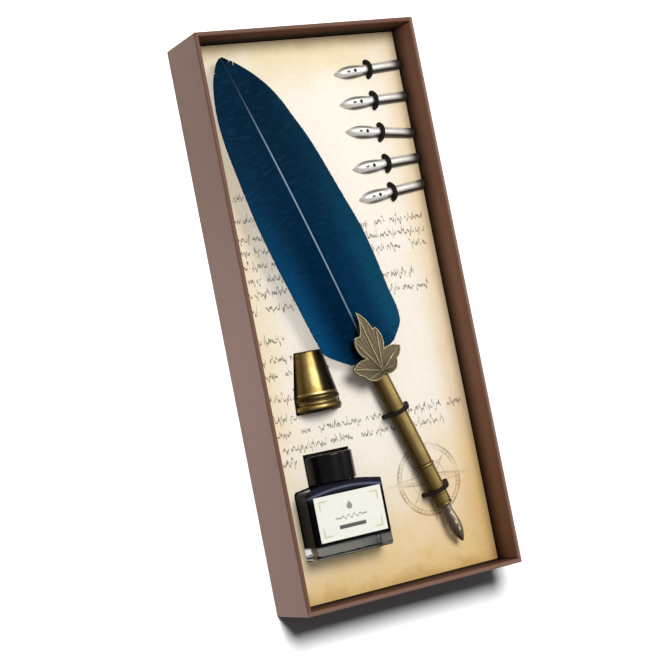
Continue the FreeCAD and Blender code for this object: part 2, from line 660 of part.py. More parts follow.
def build():
    cords, holes = ties()
    nodes = {**tray(), **insert(holes), **cords, **feather(), **pen(), "leaf_ornament": leaf()}
    for number in range(len(SPARE_NIB_TURNS)):
        nodes["spare_nib_%d" % (number + 1)] = on_nib(nib(), number, NIB_AXIS)
    nodes.update(stand())
    nodes.update(bottle())
    return nodes


os.makedirs("parts", exist_ok=True)
for node, shape in build().items():
    shape.exportStep("parts/%s.step" % node)
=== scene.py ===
"""Quill pen gift box: the looks of an open card tray with a feather pen, spare nibs, a pen stand and ink."""

import math
import random

import bpy
from mathutils import Matrix, Vector


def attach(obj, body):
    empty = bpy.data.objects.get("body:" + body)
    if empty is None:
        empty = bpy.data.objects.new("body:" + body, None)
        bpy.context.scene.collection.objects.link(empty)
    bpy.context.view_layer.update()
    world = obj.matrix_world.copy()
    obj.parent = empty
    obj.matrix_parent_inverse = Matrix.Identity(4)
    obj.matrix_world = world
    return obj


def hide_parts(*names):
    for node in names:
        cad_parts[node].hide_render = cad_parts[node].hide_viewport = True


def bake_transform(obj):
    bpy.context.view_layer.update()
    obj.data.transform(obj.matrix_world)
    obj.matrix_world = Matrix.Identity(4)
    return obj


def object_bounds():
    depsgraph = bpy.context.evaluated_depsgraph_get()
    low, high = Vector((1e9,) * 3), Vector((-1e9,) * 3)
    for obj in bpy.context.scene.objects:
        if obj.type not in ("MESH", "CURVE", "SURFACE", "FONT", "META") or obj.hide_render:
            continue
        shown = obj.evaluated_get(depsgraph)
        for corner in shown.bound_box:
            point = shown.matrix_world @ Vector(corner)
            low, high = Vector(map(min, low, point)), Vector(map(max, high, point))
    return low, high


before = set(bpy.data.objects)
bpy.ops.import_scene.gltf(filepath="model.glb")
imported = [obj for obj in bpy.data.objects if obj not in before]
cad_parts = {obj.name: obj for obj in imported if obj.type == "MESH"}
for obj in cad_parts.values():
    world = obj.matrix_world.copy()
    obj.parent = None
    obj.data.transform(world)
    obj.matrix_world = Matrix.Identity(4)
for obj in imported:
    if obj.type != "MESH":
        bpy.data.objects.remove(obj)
cad_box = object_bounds()


# Studio: the box lies on a pale round floor under two soft lamps, above and to the right of its head. A
# third lamp gives the floor its light and shadow, and three more show only as highlights on glossy pieces.
# The camera looks down from the left.
class Wire:
    """A shader socket that can be used in sums and comparisons."""

    def __init__(self, socket):
        self.socket, self.tree = socket, socket.id_data

    def node(self, kind, settings, values, output=0):
        """Add a node, set it up, then give its sockets their values or links."""
        made = self.tree.nodes.new("ShaderNode" + kind)
        for name, value in settings.items():
            setattr(made, name, value)
        for key, value in values.items():
            if isinstance(value, Wire):
                self.tree.links.new(value.socket, made.inputs[key])
            else:
                made.inputs[key].default_value = value
        return Wire(made.outputs[output])

    def math(self, operation, other=0.0):
        return self.node("Math", {"operation": operation}, {0: self, 1: other})

    def __add__(self, other):
        return self.math("ADD", other)

    def __mul__(self, other):
        return self.math("MULTIPLY", other)

    def __sub__(self, other):
        return self.math("SUBTRACT", other)

    def __rsub__(self, other):
        return self.node("Math", {"operation": "SUBTRACT"}, {0: other, 1: self})

    def __truediv__(self, other):
        return self.math("DIVIDE", other)

    def __abs__(self):
        return self.math("ABSOLUTE")

    def __lt__(self, other):
        return self.math("LESS_THAN", other)

    def __gt__(self, other):
        return self.math("GREATER_THAN", other)

    __radd__, __rmul__ = __add__, __mul__

    def split(self):
        """The three parts of a vector."""
        made = self.node("SeparateXYZ", {}, {0: self}).socket.node
        return [Wire(socket) for socket in made.outputs]

    def stretch(self, *amounts):
        """A vector with each of its parts times an amount."""
        return self.node("VectorMath", {"operation": "MULTIPLY"}, {0: self, 1: amounts})

    def ease(self, low, high):
        """0 at low, 1 at high and smooth between them."""
        return self.node("MapRange", {"interpolation_type": "SMOOTHSTEP"},
                         {"Value": self, "From Min": low, "From Max": high})

    def noise(self, size, detail=3.0, roughness=0.5):
        return self.node("TexNoise", {}, {"Vector": self, "Scale": 1 / size, "Detail": detail,
                                          "Roughness": roughness})

    def paint(self, under, over):
        """Mix two colours by this mask."""
        return self.node("Mix", {"data_type": "RGBA"}, {0: self, 6: under, 7: over}, output=2)

    def feed(self, socket):
        self.tree.links.new(self.socket, socket)


CAMERA_PLACE = (-0.43427, -0.04999, 0.78522)
CAMERA_RIGHT = (0.8638673, -0.1945912, 0.4646154)
CAMERA_UP = (0.1487032, 0.9797791, 0.1338667)
CAMERA_BACK = (-0.4812697, -0.0465533, 0.8753355)
camera = bpy.data.objects.new("camera", bpy.data.cameras.new("camera"))
camera.data.sensor_width, camera.data.lens = 36.0, 94.33
camera.data.clip_start = 0.01
turn = Matrix((CAMERA_RIGHT, CAMERA_UP, CAMERA_BACK)).transposed().to_4x4()
camera.matrix_world = Matrix.Translation(CAMERA_PLACE) @ turn
scene = bpy.context.scene
scene.collection.objects.link(camera)
scene.camera = camera
scene.view_settings.view_transform = "Standard"

# How bright the white world is as light on the object, and how much more of it shows in metal and in glass
SKY_LIGHT, SKY_IN_METAL, SKY_IN_GLASS = 0.27, 0.1, 0.5
scene.world = bpy.data.worlds.new("studio")
scene.world.use_nodes = True
sky = scene.world.node_tree.nodes["Background"]
sky.inputs["Color"].default_value = (1, 1, 1, 1)
rays = scene.world.node_tree.nodes.new("ShaderNodeLightPath").outputs
shown = Wire(rays["Is Camera Ray"]) * (1 - SKY_LIGHT) + Wire(rays["Is Glossy Ray"]) * SKY_IN_METAL
shown = shown + Wire(rays["Is Transmission Ray"]) * SKY_IN_GLASS
(shown.math("MINIMUM", 1 - SKY_LIGHT) + SKY_LIGHT).feed(sky.inputs["Strength"])

FLOOR_RADIUS, FLOOR_PLACE, FLOOR_GREY = 0.55, (0, 0.3, -0.0003), 0.2
bpy.ops.object.select_all(action="DESELECT")
bpy.ops.mesh.primitive_circle_add(vertices=96, radius=FLOOR_RADIUS, fill_type="NGON", location=FLOOR_PLACE)
floor = bpy.context.object
floor.name = "floor"
floor_paint = bpy.data.materials.new("floor_paint")
floor_paint.use_nodes = True
shader = floor_paint.node_tree.nodes["Principled BSDF"]
shader.inputs["Base Color"].default_value = (FLOOR_GREY, FLOOR_GREY, FLOOR_GREY, 1)
shader.inputs["Roughness"].default_value = 0.9
shader.inputs["Specular IOR Level"].default_value = 0.0
floor.data.materials.append(floor_paint)

stand = [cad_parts["pen_stand"]]
nibs = [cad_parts["spare_nib_%d" % number] for number in range(1, 6)]
# Each lamp's place and width in metres, its watts, whether it is only a highlight, and which pieces it lights
for name, place, size, power, gloss_only, state, pieces in (
        ("key_lamp", (0.2, 0.36, 1.1), 0.5, 3.6, False, "EXCLUDE", [floor]),
        ("soft_key_lamp", (0.1, 0.36, 1.1), 0.7, 8.4, False, "EXCLUDE", [floor]),
        ("floor_lamp", (-0.2, 0.4, 1.1), 0.46, 115.0, False, "INCLUDE", [floor]),
        ("right_strip", (0.9, 0.13, 0.76), 0.22, 2.8, True, "EXCLUDE", stand),
        ("left_strip", (-0.4, 0.36, 0.9), 0.24, 1.6, True, "INCLUDE", stand),
        ("nib_strip", (0.9, 0.97, 1.1), 0.7, 2.0, True, "INCLUDE", nibs)):
    lamp = bpy.data.objects.new(name, bpy.data.lights.new(name, "AREA"))
    lamp.data.shape, lamp.data.size, lamp.data.energy = "DISK", size, power
    lamp.location = place
    lamp.rotation_euler = (-Vector(place)).to_track_quat("-Z", "Y").to_euler()
    lamp.visible_diffuse = not gloss_only
    group = bpy.data.collections.new(name)
    for piece in pieces:
        group.objects.link(piece)
    for entry in group.collection_objects:
        entry.light_linking.link_state = state
    lamp.light_linking.receiver_collection = group
    scene.collection.objects.link(lamp)


# Tray: grey board set up as four walls round a base, and wrapped in satin paper. The paper is rosy brown
# outside and a warmer, deeper brown where it is turned in over the rim. The base is lined with pale paper.
# Painted shade darkens the inner walls down to the card, most on the head and foot walls, and the right
# and foot rims are painted lighter as painted highlight.
TRAY = ("tray_base", "tray_wall_left", "tray_wall_right", "tray_wall_head", "tray_wall_foot")
TRAY_X, TRAY_Y, TRAY_TOP = [1000 * size for size in cad_box[1]]
BOARD, CARD_TOP = 2.4, 16.0
INNER_X, INNER_Y = TRAY_X - BOARD, TRAY_Y - BOARD


def tint(code):
    """A colour from its usual six-figure code."""
    parts = [int(code[n:n + 2], 16) / 255 for n in (0, 2, 4)]
    return (*[p / 12.92 if p < 0.04045 else ((p + 0.055) / 1.055) ** 2.4 for p in parts], 1.0)


def coat(nodes, name, **fixed):
    """Give pieces a new finish. Returns its shader and the place on the surface in millimetres."""
    material = bpy.data.materials.new(name)
    material.use_nodes = True
    shader = material.node_tree.nodes["Principled BSDF"]
    for socket, value in fixed.items():
        shader.inputs[socket.replace("_", " ")].default_value = value
    place = Wire(material.node_tree.nodes.new("ShaderNodeTexCoord").outputs["Object"])
    for node in nodes:
        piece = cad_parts[node] if isinstance(node, str) else node
        piece.data.materials.clear()
        piece.data.materials.append(material)
    return shader, place.node("VectorMath", {"operation": "SCALE"}, {0: place, "Scale": 1000.0})


def emboss(shader, height, distance):
    """Raise the surface by a height of 0 to 1 times a distance in metres."""
    height.node("Bump", {}, {"Height": height, "Distance": distance}).feed(shader.inputs["Normal"])


shader, mm = coat(TRAY, "wrap_paper", Specular_IOR_Level=0.2)
x, y, z = mm.split()
inside = (INNER_X + 0.3 - abs(x)).ease(0.0, 0.2) * (INNER_Y + 0.3 - abs(y)).ease(0.0, 0.2) * (z > 1.0)
rim = z.ease(TRAY_TOP - 1.1, TRAY_TOP - 0.1)
fibre = mm.noise(1.6, 4.0, 0.6)
cloud = mm.noise(42.0, 3.0)
outer = y.ease(-40.0, 110.0).paint(tint("8B6C62"), tint("6A4C41"))
outer = (cloud * 0.5).paint(outer, tint("80624F"))
inner = cloud.paint(tint("845C49"), tint("9A705C"))
# Painted shade: the inner walls darken down towards the card.
inner = ((1 - z.ease(CARD_TOP - 1.0, TRAY_TOP - 5.0)) * 0.95).paint(inner, tint("1E0E05"))
# Painted shade: the head and foot walls' inner faces are darker still, near black at the card.
shaded_end_walls = z.ease(CARD_TOP + 3.0, TRAY_TOP - 3.0).paint(tint("140802"), tint("603722"))
inner = (abs(y) > INNER_Y - 0.6).paint(inner, shaded_end_walls)
inner = (abs(z - BOARD) < 0.1).paint(inner, tint("CFC6B8"))
paper = inside.paint(outer, inner)
# Painted highlight: the rims of the right and foot walls are painted lighter.
rim_sides_lit = x.ease(INNER_X - 0.1, TRAY_X - 0.5).math("MAXIMUM", 1 - y.ease(0.5 - TRAY_Y, 0.1 - INNER_Y))
paper = (rim * (0.75 + fibre * 0.3)).paint(paper, rim_sides_lit.paint(tint("6C4838"), tint("8A6657")))
corner = abs(x).ease(TRAY_X - 0.6, TRAY_X) * abs(y).ease(TRAY_Y - 0.6, TRAY_Y)
paper = (corner * mm.noise(3.0).ease(0.4, 0.6) * 0.5).paint(paper, tint("C4AA9E"))
paper.feed(shader.inputs["Base Color"])
(0.42 + fibre * 0.16 + inside * 0.4).feed(shader.inputs["Roughness"])
emboss(shader, fibre * 0.6 + mm.noise(0.5, 2.0) * 0.4, 0.00006)


# Card platform: a folded card with four skirts, which holds everything a little above the tray's base.
# It is bare cream card, seen only at its cut edges and from below.
shader, mm = coat(("insert_platform",), "insert_card", Roughness=0.85)
fibre = mm.stretch(1.0, 1.0, 6.0).noise(0.9, 4.0, 0.6)
fibre.paint(tint("C9B491"), tint("E4D5B8")).feed(shader.inputs["Base Color"])
emboss(shader, fibre, 0.00008)


# Parchment sheet: the card's printed face, glued on it, cream in the middle and stained gold and brown
# towards its edges and foot. Rows of faded pen strokes and a compass rose are printed on it.
SHEET_GAP = 0.5
SHEET_X, SHEET_Y = INNER_X - SHEET_GAP, INNER_Y - SHEET_GAP
shader, mm = coat(("insert_sheet",), "parchment", Specular_IOR_Level=0.25)
x, y = mm.split()[:2]
# Stains at the edges, the foot and the right side, with uneven borders
wander = mm.noise(44.0, 5.0, 0.6)
blotch = mm.noise(17.0, 4.0, 0.65)
edge = (SHEET_X + 6.0 - abs(x)).math("MINIMUM", SHEET_Y - abs(y))
age = 1 - (edge + (wander - 0.5) * 60).ease(-2.0, 34.0)
foot = 1 - (y + (wander - 0.5) * 70 - x * 0.4).ease(-138.0, -66.0)
burnt = 1 - (edge + (blotch - 0.5) * 24).ease(-1.0, 8.0)
spots = (blotch - 0.56).ease(0.0, 0.2) * (age + foot) * 0.3
right = (x + (wander - 0.5) * 26).ease(45.0, 62.0) * (0.25 + blotch * 0.6)
right = right * (1 - y.ease(-70.0, 10.0) * 0.4)
sheet = age.paint(tint("F7EFE2"), tint("EEDBB2"))
sheet = (foot * (0.55 + blotch * 0.6)).math("MINIMUM", 1.0).paint(sheet, tint("E7C583"))
sheet = (burnt * (0.35 + foot * 0.4)).paint(sheet, tint("CB9C54"))
sheet = spots.math("MINIMUM", 1.0).paint(sheet, tint("D0A968"))
sheet = right.math("MINIMUM", 0.6).paint(sheet, tint("D0A560"))
sheet = (mm.noise(2.2, 5.0, 0.7).ease(0.45, 0.75) * 0.16).paint(sheet, tint("D2B88A"))


def drawn(distance, half, soft=0.22):
    """A printed line: 1 within half of the line's middle."""
    return 1 - distance.ease(half, half + soft)


def sine(value):
    return value.math("SINE")


def beat(value):
    """Slow random value from 0 to 1 along one number."""
    return value.node("TexNoise", {"noise_dimensions": "1D"}, {"W": value, "Scale": 1.0, "Detail": 0.0})


# Base line, usual height and right end of each row of pen strokes
ROWS = ((62.0, 2.7, -20.0), (50.8, 2.7, -36.0), (41.3, 2.0, 57.0), (34.6, 2.0, 58.0), (27.4, 2.0, 56.0),
        (20.2, 2.0, 6.0), (13.2, 2.0, 45.0), (5.4, 2.0, 54.0), (-10.7, 2.7, -38.0), (-20.5, 2.0, -12.0),
        (-27.8, 2.0, -16.0), (-40.3, 2.7, -37.0), (-50.3, 2.0, -38.0), (-57.7, 2.0, 58.0),
        (-65.3, 2.0, 45.0), (-72.5, 2.0, -43.0))
ROW_START, NO_ROW = -60.0, -90.0
above, seed, tall, end = y * 0, y * 0, y * 0 + 0.001, y * 0 + NO_ROW
for number, (base, height, row_end) in enumerate(ROWS, 1):
    held = abs(y - base - 0.6 * height) < 1.6 * height
    above = above + held * (y - base)
    seed = seed + held * number
    tall = tall + held * height
    end = end + held * (row_end - NO_ROW)
# A row is one wavy line with tall and hanging strokes here and there, cut into words
phase = x * 4.6 / tall + beat(x * 0.8 + seed * 3.1) * 7.0
up = sine(phase) * 0.5 + 0.5
rises = 0.55 + beat(x * 0.5 + seed * 5.3).ease(0.35, 0.6) * 0.4
rises = rises + beat(x * 0.7 + seed * 9.7).ease(0.58, 0.66) * 0.9
hangs = beat(x * 0.7 + seed * 7.9).ease(0.6, 0.68) * 0.8
stroke = above - tall * (up * rises - (1 - up) * hangs)
steep = 1 + abs(phase.math("COSINE")) * (rises + hangs) * 2.2
script = drawn(abs(stroke) / steep, 0.15, 0.2)
word = x * 0.1 + seed * 0.61 + beat(x * 0.13 + seed * 5.1) * 1.2
script = script * (word - word.math("FLOOR") < 0.8)
script = script * (x - ROW_START).ease(0.0, 0.3) * (end - x).ease(0.0, 0.3)
sheet = (script * (0.55 + mm.noise(6.0, 2.0) * 0.45)).paint(sheet, tint("4F463E"))

ROSE_X, ROSE_Y, ROSE_RADIUS = 28.8, -93.8, 18.4
east, north = x - ROSE_X, y - ROSE_Y
reach = (east * east + north * north).math("SQRT") / ROSE_RADIUS
rose = y * 0
# The rose's rings: radius as a share of its own, half width, softness and strength
for ring, half, soft, strength in ((1.0, 0.3, 0.5, 1.0), (0.9, 0.15, 0.4, 1.0), (0.55, 0.12, 0.22, 0.7)):
    rose = rose + drawn(abs(reach - ring) * ROSE_RADIUS, half, soft) * strength
bearing = north.math("ARCTAN2", east)
rose = rose + (abs(reach - 0.96) * ROSE_RADIUS < 0.6) * (sine(bearing * 48.0) > 0.55) * 0.8
# Its star of four long points over four short ones: turn, length and half width
for turn, length, width in ((0.0, ROSE_RADIUS * 1.36, 3.1), (math.pi / 4, ROSE_RADIUS * 0.8, 2.4)):
    across = abs(east * math.cos(turn) + north * math.sin(turn))
    along = abs(north * math.cos(turn) - east * math.sin(turn))
    diamond = (across / length + along / width).math("MINIMUM", across / width + along / (length * 0.85))
    hatch = (sine((east + north) * 4.5) > 0.2) * (east * north * math.cos(2 * turn + 0.01) > 0.0)
    rose = rose + drawn(abs(diamond - 1.0) * width, 0.14) + (diamond < 1.0) * hatch * 0.8
faded = mm.noise(9.0, 2.0).ease(0.2, 0.6) * 0.58
sheet = (rose.math("MINIMUM", 1.0) * faded).paint(sheet, tint("8A6C48"))
sheet.feed(shader.inputs["Base Color"])
(0.62 + wander * 0.25).feed(shader.inputs["Roughness"])
emboss(shader, mm.noise(0.7, 4.0, 0.6), 0.00005)


# Pen: a turned brass tube with a ring bead, a grip and a grooved ferrule for the nib, and a brass bush
# for the feather. It has an antique finish: rubbed olive gold over dark brown in the hollows. Its left side
# is painted darker, as painted shade.
PEN_X, PEN_Y, PEN_AXIS = 38.5, -128.2, 21.1
PEN = (PEN_X, PEN_Y, PEN_AXIS)
PEN_RUN_X, PEN_RUN_Y = 85.1, 261.9
PEN_ANGLE = math.atan2(PEN_RUN_X, PEN_RUN_Y)
BARREL_RADIUS = 4.6


def on_axis(mm, centre, angle):
    """The place on the surface as across, along and up from an axis."""
    turned = mm.node("VectorRotate", {"rotation_type": "Z_AXIS"},
                     {"Vector": mm, "Center": centre, "Angle": -angle})
    return turned.node("VectorMath", {"operation": "SUBTRACT"}, {0: turned, 1: centre})


def metal(nodes, name, centre, angle, purity, rough, bright, dull, dark):
    """Metal rubbed in streaks along an axis. Returns its shader, its tone and the place across and along."""
    shader, mm = coat(nodes, name, Metallic=purity)
    local = on_axis(mm, centre, angle)
    streak = local.stretch(1.0, 0.1, 1.0).noise(0.9, 4.0, 0.6)
    patina = local.noise(11.0, 5.0, 0.6)
    tone = patina.ease(0.3, 0.72).paint(tint(dull), tint(bright))
    tone = (streak.ease(0.5, 0.8) * 0.3).paint(tone, tint(dark))
    (rough + streak * 0.1 + (1 - patina) * 0.08).feed(shader.inputs["Roughness"])
    emboss(shader, streak, 0.00002)
    return shader, tone, *local.split()[:2]


shader, tone, across, along = metal(
    ("pen_barrel", "grip_ring", "grip_section", "nib_ferrule", "feather_socket"), "antique_brass",
    PEN, PEN_ANGLE, purity=1.0, rough=0.37, bright="94804F", dull="7E6A3E", dark="4A3B1E")
# Painted shade: the barrel's left side is painted darker, darkest at its left edge.
tone = ((1 - across.ease(-BARREL_RADIUS, 0.8)) * 0.9).paint(tone, tint("73603A"))
tone = ((1 - across.ease(0.1 - BARREL_RADIUS, -3.0)) * 0.85).paint(tone, tint("33260F"))
tone.feed(shader.inputs["Base Color"])


# Feather shaft: the horn of the quill, dark blue from the dye with a pale grey-blue ridge between the
# vanes. It is pushed into the bush and runs to the feather's tip.
shader, mm = coat(("feather_shaft",), "quill_horn", Roughness=0.5, Specular_IOR_Level=0.2)
across, along = on_axis(mm, PEN, PEN_ANGLE).split()[:2]
grain = mm.noise(3.0, 4.0)
ridge = (1 - abs(across + 0.1).ease(0.2, 0.6)) * (1 - along.ease(215.0, 265.0))
ridge = ridge * (0.5 + along.ease(105.0, 170.0) * 0.5)
ridge.paint(tint("0A2438"), grain.paint(tint("6A86A0"), tint("8BA3B8"))).feed(shader.inputs["Base Color"])
emboss(shader, grain, 0.00005)


# Feather vanes: a dyed goose feather. Each vane is several hundred barbs that leave the shaft at a slant
# and overlap like shingles, clinging in clumps that part a little at the edge.
VANE_START, VANE_END, VANE_HALF = 106.5, 275.4, 27.5
VANE_LENGTH = VANE_END - VANE_START
BARREL_END, RISE, RISE_TURN, SLOPE = 104.0, 4.0, math.radians(144.0), 0.1
# Half width of each vane as a share of the widest, against the share of its length
VANE_RIGHT = [(0.004, 0.545), (0.058, 0.88), (0.163, 0.94), (0.344, 0.985), (0.506, 0.913), (0.661, 0.836),
              (0.752, 0.745), (0.837, 0.64), (0.903, 0.473), (0.97, 0.204), (1.0, 0.02)]
VANE_LEFT = [(0.004, 0.41), (0.076, 0.87), (0.122, 0.93), (0.253, 0.965), (0.4, 0.99), (0.53, 0.97),
             (0.661, 0.885), (0.74, 0.825), (0.815, 0.73), (0.877, 0.6), (0.94, 0.404), (0.971, 0.25),
             (0.99, 0.135), (1.0, 0.02)]
BARBS, BARB_STEPS = 430, 14
BARB_ROOT, BARB_BOW, BARB_FILL, BARB_TAPER = 0.15, 0.2, 0.95, 0.3
FIRST_ROOT, ROOT_SPAN = VANE_START + 0.3, VANE_LENGTH - 3.0
# Where the barbs reach the edge, against where they leave the shaft, both in shares of the vane
BARB_ENDS = ((0.0, 0.012), (0.04, 0.075), (0.12, 0.2), (0.3, 0.415), (0.6, 0.72), (0.85, 0.93), (1.0, 1.0))
# A barb's section: places across it in shares of its half width, and up in millimetres
BARB_SECTION = ((-1, -0.02), (0, 0.06), (1, 0.02), (0, -0.1))
# Least half width of a barb, and from where on along the vane it is the greater one
BARB_LEAST, BARB_LEAST_TIP, TIP_SHARE = 0.3, 0.7, 0.98
# How far the clumps wander along the edge and up, how many barbs cling together, how much barbs fall short
CLUMP_SHIFT, CLUMP_LIFT, CLUMP_BARBS, BARB_SHORT = 0.0002, 0.02, (9, 30), 0.004


def pen_place(across, along, up):
    """A point in the pen's own frame, in millimetres, as a place in the box."""
    c, s = math.cos(PEN_ANGLE), math.sin(PEN_ANGLE)
    return Vector((PEN_X + across * c - along * s, PEN_Y + across * s + along * c, PEN_AXIS + up)) / 1000


def vane_height(across, along):
    share = max(0.0, (along - BARREL_END) / (VANE_END - BARREL_END))
    return RISE * math.sin(RISE_TURN * share) + SLOPE * abs(across)


def vane_half(outline, along):
    """Half width of a vane at a place along it, smooth through its outline."""
    share = (along - VANE_START) / VANE_LENGTH
    if share <= outline[0][0] or share >= 1.0:
        return outline[0][1] * VANE_HALF if share < 0.5 else 0.0
    n = next(i for i in range(len(outline) - 1) if outline[i + 1][0] >= share)
    before, after = outline[max(n - 1, 0)], outline[min(n + 2, len(outline) - 1)]
    (a, p), (b, q) = outline[n], outline[n + 1]
    t, run = (share - a) / (b - a), b - a
    lean_a = (q - before[1]) / (b - before[0]) * run
    lean_b = (after[1] - p) / (after[0] - a) * run
    return VANE_HALF * ((2 * t ** 3 - 3 * t ** 2 + 1) * p + (t ** 3 - 2 * t ** 2 + t) * lean_a
                        + (3 * t ** 2 - 2 * t ** 3) * q + (t ** 3 - t ** 2) * lean_b)


def barb_end(share):
    n = next(i for i in range(len(BARB_ENDS) - 1) if BARB_ENDS[i + 1][0] >= share)
    (a, p), (b, q) = BARB_ENDS[n], BARB_ENDS[n + 1]
    return p + (q - p) * (share - a) / (b - a)


def barb_place(outline, share, end, t):
    """Across and along on one barb, which bows towards the tip on its way from the shaft to the edge."""
    root, tip = FIRST_ROOT + share * ROOT_SPAN, VANE_START + end * VANE_LENGTH
    out = max(vane_half(outline, tip), 0.2)
    lean, reach = math.atan2(out, tip - root) + BARB_BOW, 0.5 * math.hypot(out, tip - root)
    bow_x, bow_y = BARB_ROOT + reach * math.sin(lean), root + reach * math.cos(lean)
    a, b, c = (1 - t) ** 2, 2 * t * (1 - t), t ** 2
    return a * BARB_ROOT + b * bow_x + c * out, a * root + b * bow_y + c * tip


def vane(name, outline, side, seed, notches):
    """One vane of barbs, as a single mesh with a UV map along and across its barbs."""
    draw = random.Random(seed)
    corners, faces, spots = [], [], []
    clump, left, lift = 0.0, 0, 0.0
    for n in range(BARBS):
        share = (n + 0.5) / BARBS
        if left == 0:
            clump, lift = draw.gauss(0, CLUMP_SHIFT), draw.gauss(0, CLUMP_LIFT)
            left = draw.randint(*CLUMP_BARBS)
        left -= 1
        end = min(1.0, max(0.0, barb_end(share) + clump))
        reach = 1 - abs(draw.gauss(0, BARB_SHORT))
        for place, depth in notches:
            reach = reach - depth * (abs(share - place) * BARBS < 1.0)
        later = min(1.0, share + 1 / BARBS)
        later_end = end + barb_end(later) - barb_end(share)
        least = BARB_LEAST_TIP if share > TIP_SHARE else BARB_LEAST
        first = len(corners)
        for k in range(BARB_STEPS + 1):
            t = k / BARB_STEPS
            across, along = barb_place(outline, share, end, t * reach)
            next_across, next_along = barb_place(outline, share, end, t * reach + 0.01)
            later_across, later_along = barb_place(outline, later, later_end, t * reach)
            run_x, run_y = next_across - across, next_along - along
            length = math.hypot(run_x, run_y)
            side_x, side_y = -run_y / length, run_x / length
            apart = abs((later_across - across) * side_x + (later_along - along) * side_y)
            half = BARB_FILL * max(apart, least) * (1 - BARB_TAPER * t ** 8)
            up = vane_height(across, along) + lift * t
            for spread, raise_by in BARB_SECTION:
                corners.append(pen_place(side * (across + spread * half * side_x),
                                         along + spread * half * side_y, up + raise_by))
                spots.append((t, share))
        for k in range(BARB_STEPS):
            for c in range(4):
                ring = [first + k * 4 + c, first + k * 4 + (c + 1) % 4,
                        first + (k + 1) * 4 + (c + 1) % 4, first + (k + 1) * 4 + c]
                faces.append(ring if side > 0 else ring[::-1])
        for k, order in ((0, (3, 2, 1, 0)), (BARB_STEPS, (0, 1, 2, 3))):
            cap = [first + k * 4 + c for c in order]
            faces.append(cap if side > 0 else cap[::-1])
    mesh = bpy.data.meshes.new(name)
    mesh.from_pydata(corners, [], faces)
    layer = mesh.uv_layers.new(name="barbs")
    for loop in mesh.loops:
        layer.data[loop.index].uv = spots[loop.vertex_index]
    mesh.polygons.foreach_set("use_smooth", [True] * len(mesh.polygons))
    piece = bpy.data.objects.new(name, mesh)
    scene.collection.objects.link(piece)
    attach(piece, "pen")
    return piece


left_vane = vane("feather_barbs_left", VANE_LEFT, -1, 11, ((0.93, 0.12),))
right_vane = vane("feather_barbs_right", VANE_RIGHT, 1, 23, ((0.945, 0.2), (0.965, 0.16)))
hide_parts("feather_vane_left")
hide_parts("feather_vane_right")
# The vanes are thin enough to let the softer lamp through
sheer = bpy.data.collections.new("sheer")
for piece in (left_vane, right_vane):
    sheer.objects.link(piece)
for entry in sheer.collection_objects:
    entry.light_linking.link_state = "EXCLUDE"
bpy.data.objects["soft_key_lamp"].light_linking.blocker_collection = sheer
shader, mm = coat((left_vane, right_vane), "dyed_feather", Roughness=0.8, Specular_IOR_Level=0.0)
local = on_axis(mm, PEN, PEN_ANGLE)
across, along = local.split()[:2]
barb = Wire(mm.tree.nodes.new("ShaderNodeUVMap").outputs["UV"])
barb.socket.node.uv_map = "barbs"
row = barb.split()[1] * BARBS
low = 1 - along.ease(115.0, 235.0)
middle = (1 - abs(across + 6.0).ease(2.0, 11.0)) * (0.2 + low * 0.75)
bars = local.stretch(0.16, 0.6, 0.0).noise(1.0, 2.0, 0.5)
dye = low.paint(tint("0D293E"), tint("06304F"))
dye = ((1 - across.ease(-27.0, -13.0)) * (0.1 + low * 0.8)).paint(dye, tint("0F4D77"))
dye = (across.ease(8.0, 24.0) * (0.2 + low * 0.7)).paint(dye, tint("174F6C"))
dye = middle.math("MINIMUM", 0.9).paint(dye, tint("011D34"))
dye = (bars.ease(0.54, 0.7) * (0.22 - low * 0.12)).paint(dye, tint("1F4E69"))
dye = ((1 - bars.ease(0.3, 0.44)) * 0.25).paint(dye, tint("031421"))
dye = (beat(row * 0.8).ease(0.35, 0.8) * 0.12).paint(dye, tint("041523"))
dye.feed(shader.inputs["Base Color"])


# Leaf ornament: a cast bronze leaf soldered over the barrel's mouth, aged dull brown. Its rim and main
# veins are rubbed bright, and fine veins spread from its root between them.
LEAF_ROOT, LEAF_FLOOR, LEAF_TOP = 98.6, 27.2, 27.6
shader, mm = coat(("leaf_ornament",), "leaf_bronze", Metallic=0.5, Specular_IOR_Level=0.3)
across, along = on_axis(mm, PEN, PEN_ANGLE).split()[:2]
rubbed = mm.split()[2].ease(LEAF_FLOOR + 0.1, LEAF_TOP - 0.05)
cast = mm.noise(1.1, 4.0, 0.6)
vein = sine(across.math("ARCTAN2", along - LEAF_ROOT) * 60.0 + mm.noise(5.0, 2.0) * 9.0) * 0.5 + 0.5
bronze = (vein * 0.5 + cast * 0.5).paint(tint("3F3524"), tint("766950"))
bronze = (rubbed * (0.4 + cast * 0.5)).math("MINIMUM", 1.0).paint(bronze, tint("A89A78"))
bronze.feed(shader.inputs["Base Color"])
(0.55 - rubbed * 0.12).feed(shader.inputs["Roughness"])
emboss(shader, vein * 0.6 + cast * 0.4, 0.0002)


# Nibs: bright steel sheet, stamped with a breather hole and a slot and rolled half round. One is pushed into
# the pen's ferrule. Five spare ones, 40 mm long, lie under cords in a row down the right wall.
NIB_END, NIB_ROW, NIB_PITCH, NIB_LENGTH, NIB_LIFT = 60.4, 121.5, 16.0, 40.0, 0.4
